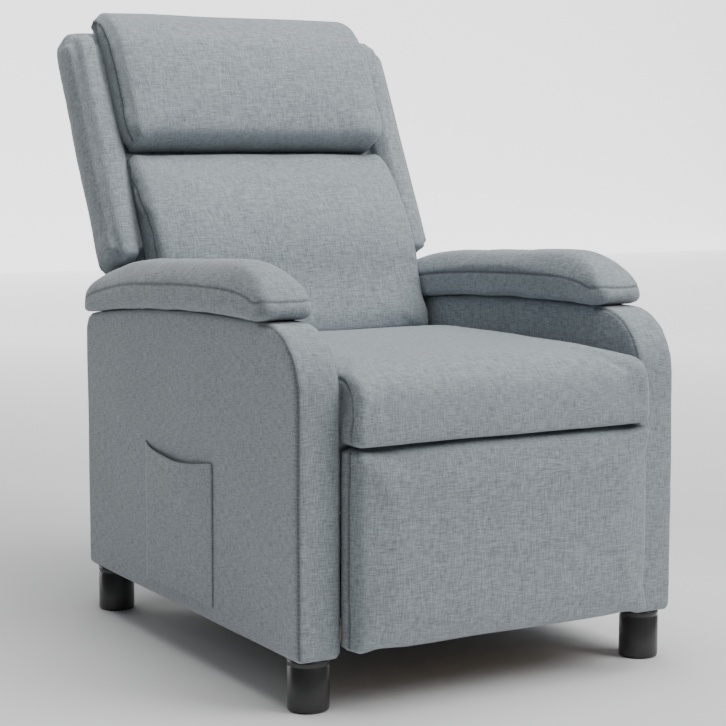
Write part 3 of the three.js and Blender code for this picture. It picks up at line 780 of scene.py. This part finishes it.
def make_headrest():
    front = [(-0.0900, 0.1915), (-0.1200, 0.1920), (-0.1320, 0.204), (-0.1360, 0.2524), (-0.1390, 0.306)]
    front += [(-0.1385, 0.3639), (-0.1305, 0.3881), (-0.1136, 0.4227), (-0.0878, 0.4488), (-0.0575, 0.465)]
    rear = [(-0.040, 0.461), (-0.028, 0.450), (-0.024, 0.433)]
    rear += [(CUSHION_REAR, 0.431), (CUSHION_REAR, 0.1915)]
    body = pillow("headrest_pillow", front, rear, half=0.2495, corner=0.05, rise=0.006, seed=37)
    parts = new_parts()
    side = [(y + 0.027, z) for y, z in front[2:7]] + [(-0.094, 0.413), (-0.074, 0.434), (-0.05, 0.448)]
    for x in (-0.244, 0.244):
        path = [(x, -0.096, 0.192)] + [(x, y, z) for y, z in side]
        seam(body, path, parts, pucker=0.0012, rows=one_row(-x))
    dress(body, parts, "back", nodes=["headrest_cushion"], leaning=True)


# ---- the small pieces ----
def make_leg(end, side):
    """A turned plug with a chamfered foot and a slight step where it meets the arm."""
    name = f"leg_{end}_{side}"
    lo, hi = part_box(name)
    r = (hi.x - lo.x) / 2
    centre = ((hi.x + lo.x) / 2, (hi.y + lo.y) / 2, 0)
    top = ARM_LO.z + 0.0005
    profile = [(0, 0.0), (r - 0.0035, 0.0), (r - 0.0012, 0.001), (r - 0.0002, 0.003), (r, 0.006)]
    profile += [(r, top - 0.012), (r - 0.0012, top - 0.0105), (r - 0.0012, top - 0.0085), (r, top - 0.007)]
    profile += [(r, top), (0.0, top)]
    bm = bmesh.new()
    ring = [bm.verts.new((rad, 0, z)) for rad, z in profile]
    edges = [bm.edges.new(pair) for pair in zip(ring, ring[1:])]
    bmesh.ops.spin(bm, geom=ring + edges, cent=(0, 0, 0), axis=(0, 0, 1), angle=2 * math.pi, steps=64)
    bmesh.ops.remove_doubles(bm, verts=bm.verts, dist=1e-6)
    bmesh.ops.recalc_face_normals(bm, faces=bm.faces)
    bmesh.ops.translate(bm, verts=bm.verts, vec=centre)
    mesh = bpy.data.meshes.new(f"turned_{name}")
    bm.to_mesh(mesh)
    bm.free()
    mesh.shade_smooth()
    leg = bpy.data.objects.new(f"turned_{name}", mesh)
    scene.collection.objects.link(leg)
    mesh.materials.append(PLASTIC)
    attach(leg, "base")
    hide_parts(name)


POCKET_SKIN = -ARM_OUT - 0.0006
MOUTH_OPEN, POCKET_BELLY, POCKET_WRINKLE = 0.0058, 0.0016, 0.0009


def make_pocket():
    """A patch of the same cloth, sewn on down its sides and along its foot, its mouth a little open."""
    wide, columns, rows = POCKET_HI.y - POCKET_LO.y, 60, 52
    mouth = smooth_line([(0.0, 0.314), (0.42, 0.302), (0.74, 0.305), (0.92, 0.310), (1.0, 0.318)], step=0.01)
    verts = []
    for j in range(rows + 1):
        v = j / rows
        for i in range(columns + 1):
            u = i / columns
            top = np.interp(u, mouth[:, 0], mouth[:, 1])
            z = POCKET_LO.z + (top - POCKET_LO.z) * v
            mouth_gap = MOUTH_OPEN * v**4 * math.sin(math.pi * u) ** 0.7
            belly = POCKET_BELLY * math.sin(math.pi * u) * math.sin(math.pi * v)
            fold = noise.noise(Vector((u * 5, v * 4 + u * 2, 3.3)))
            wrinkle = POCKET_WRINKLE * fold * math.sin(math.pi * u)
            x = POCKET_SKIN - mouth_gap - belly - abs(wrinkle)
            verts.append((x, POCKET_LO.y + wide * u, z))
    faces = [face[:1] + face[:0:-1] for face in grid_faces(columns, rows)]
    pocket = make_object("pocket_patch", verts, faces)
    modify(pocket, "SOLIDIFY", thickness=0.0018, offset=1.0)
    dress(pocket, new_parts(), "base", nodes=["side_pocket"])


def make_panel():
    outline = [(PANEL_LO.y, PANEL_LO.z), (PANEL_LO.y, PANEL_HI.z)]
    outline += [(PANEL_HI.y, PANEL_HI.z), (PANEL_HI.y, PANEL_LO.z)]
    panel = prism("rear_panel_cover", outline, PANEL_LO.x + 0.0005, PANEL_HI.x - 0.0005, edge=0.004)
    panel = relax(voxel(panel, VOXEL), 1)
    undulate(panel, 0.001, 0.1, 41)
    dress(panel, new_parts(), "base", nodes=["rear_panel"])


DUST_SAG, DUST_RIPPLE = 0.004, 0.0004


def make_dust_cover():
    """Black cloth stapled under the frame. It sags a little."""
    columns, rows = 40, 48
    verts = []
    for j in range(rows + 1):
        for i in range(columns + 1):
            u, v = i / columns, j / rows
            x = DUST_LO.x + (DUST_HI.x - DUST_LO.x) * u
            y = DUST_LO.y + (DUST_HI.y - DUST_LO.y) * v
            sag = DUST_SAG * math.sin(math.pi * u) * math.sin(math.pi * v)
            ripple = DUST_RIPPLE * noise.noise(Vector((u * 9, v * 11, 0.5)))
            verts.append((x, y, DUST_LO.z + 0.0002 - sag + ripple))
    cover = make_object("underside_cloth", verts, grid_faces(columns, rows))
    modify(cover, "SOLIDIFY", thickness=0.0008, offset=0.0)
    cover.data.materials.append(WEBBING)
    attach(cover, "base")
    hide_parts("dust_cover")


for name in SIDES:
    make_arm(name)
    make_arm_pad(name)
    for place in ("front", "rear"):
        make_leg(place, name)
make_seat()
make_footrest()
make_back()
make_lumbar()
make_headrest()
make_pocket()
make_panel()
make_dust_cover()

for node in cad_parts.values():
    for own in node.material_slots:
        own.material = CAD_MATERIALS.get(own.material.name, own.material)


# ---- studio ----
WALL_GLOW, LAMP_POWER, WORLD_POWER = 1.8, 118, 0.05
FLOOR_GREY, WALL_GREY, WORLD_TINT = 0.86, 0.8, (0.93, 0.96, 1.0, 1)
HALF_ROOM, WALL_TOP = 9, 7
AIM = Vector((0, 0, 0.4))
LAMPS = {"key": ((2.2, -2.6, 3.2), 2.4), "top": ((0.2, -0.2, 3.6), 2.6)}
# The camera is solved from the photograph: its place in metres, its angles in degrees, its lens in mm.
CAMERA_AT, CAMERA_DOWN, CAMERA_TURN = (-1.5027, -2.6704, 0.7667), 6.324, -29.976
CAMERA_LENS, CAMERA_SENSOR = 94.07, 36.0


def glow(name, grey, strength=0.0):
    """A matt grey surface that also shines white."""
    s = Shader(name)
    s.set(Base_Color=(grey, grey, grey, 1), Roughness=1.0, Specular_IOR_Level=0.0)
    s.set(Emission_Color=(1, 1, 1, 1), Emission_Strength=strength)
    return s.material


def brighten_far_floor(material):
    """The floor runs into a lit sweep: it glows more the farther it lies behind the chair."""
    tree = material.node_tree
    place = tree.nodes.new("ShaderNodeTexCoord")
    reach = tree.nodes.new("ShaderNodeVectorMath")
    reach.operation = "DOT_PRODUCT"
    reach.inputs[1].default_value = (0.6, 0.8, 0.0)
    ramp = tree.nodes.new("ShaderNodeMapRange")
    for socket, value in (("From Min", 0.9), ("From Max", 4.5), ("To Min", 0.0), ("To Max", 1.3)):
        ramp.inputs[socket].default_value = value
    tree.links.new(place.outputs["Object"], reach.inputs[0])
    tree.links.new(reach.outputs["Value"], ramp.inputs["Value"])
    tree.links.new(ramp.outputs[0], tree.nodes["Principled BSDF"].inputs["Emission Strength"])


def make_studio():
    r = HALF_ROOM
    floor = make_object("floor", [(-r, -r, 0), (r, -r, 0), (r, r, 0), (-r, r, 0)], [[0, 1, 2, 3]])
    floor.data.materials.append(glow("pale_floor", FLOOR_GREY))
    brighten_far_floor(floor.data.materials[0])
    corners = [(-r, r, 0), (r, r, 0), (r, r, WALL_TOP), (-r, r, WALL_TOP)]
    wall = make_object("backdrop", corners, [[0, 1, 2, 3]])
    wall.data.materials.append(glow("pale_wall", WALL_GREY, WALL_GLOW))
    world = bpy.data.worlds.new("studio")
    world.use_nodes = True
    world.node_tree.nodes["Background"].inputs[0].default_value = WORLD_TINT
    world.node_tree.nodes["Background"].inputs[1].default_value = WORLD_POWER
    scene.world = world
    for name, (at, size) in LAMPS.items():
        data = bpy.data.lights.new(name, "AREA")
        data.energy = LAMP_POWER
        data.size = size
        lamp = bpy.data.objects.new(name, data)
        lamp.location = at
        lamp.rotation_euler = (AIM - Vector(at)).to_track_quat("-Z", "Y").to_euler()
        scene.collection.objects.link(lamp)


def make_camera():
    data = bpy.data.cameras.new("camera")
    data.lens = CAMERA_LENS
    data.sensor_width = CAMERA_SENSOR
    camera = bpy.data.objects.new("camera", data)
    camera.location = CAMERA_AT
    camera.rotation_euler = (math.radians(90 - CAMERA_DOWN), 0.0, math.radians(CAMERA_TURN))
    scene.collection.objects.link(camera)
    scene.camera = camera


make_studio()
make_camera()
